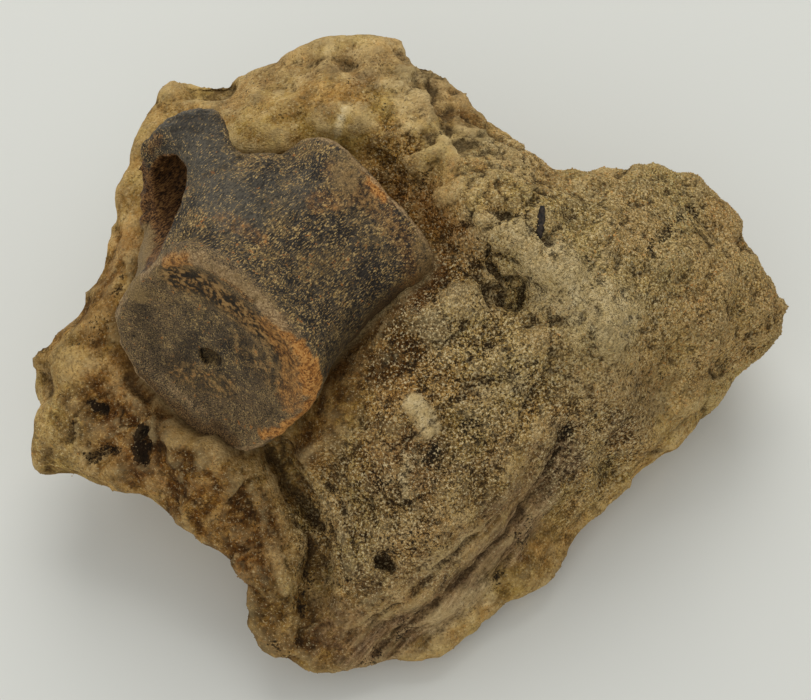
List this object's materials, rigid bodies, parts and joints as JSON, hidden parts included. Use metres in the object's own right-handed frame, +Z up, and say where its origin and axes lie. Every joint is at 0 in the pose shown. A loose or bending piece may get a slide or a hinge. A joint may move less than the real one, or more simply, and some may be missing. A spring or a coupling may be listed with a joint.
{
  "type": "fossil dinosaur vertebra in matrix",
  "caption": "Dark fossil tail vertebra with a broken neural arch, standing proud of a rough tan sandstone block, with a small black splinter beside it.",
  "frame": {"origin": "middle of the flat sawn base that the block rests on", "axes": "+Z up, +X towards the right lobe of the block, along its longest side, and -Y towards the front slope"},
  "size_m": [0.1857, 0.1593, 0.0902],
  "materials": {
    "fossil_bone": "dark grey-brown fossil bone, satin, speckled with ochre, worn orange on the rims",
    "sandstone": "rough tan medium-grained sandstone, stained ochre and brown",
    "jet_black_bone": "black, glossy, carbonised"
  },
  "bodies": {
    "root": {"vertebra": "fossil_bone", "sandstone_matrix": "sandstone", "bone_splinter": "jet_black_bone"}
  },
  "joints": []
}
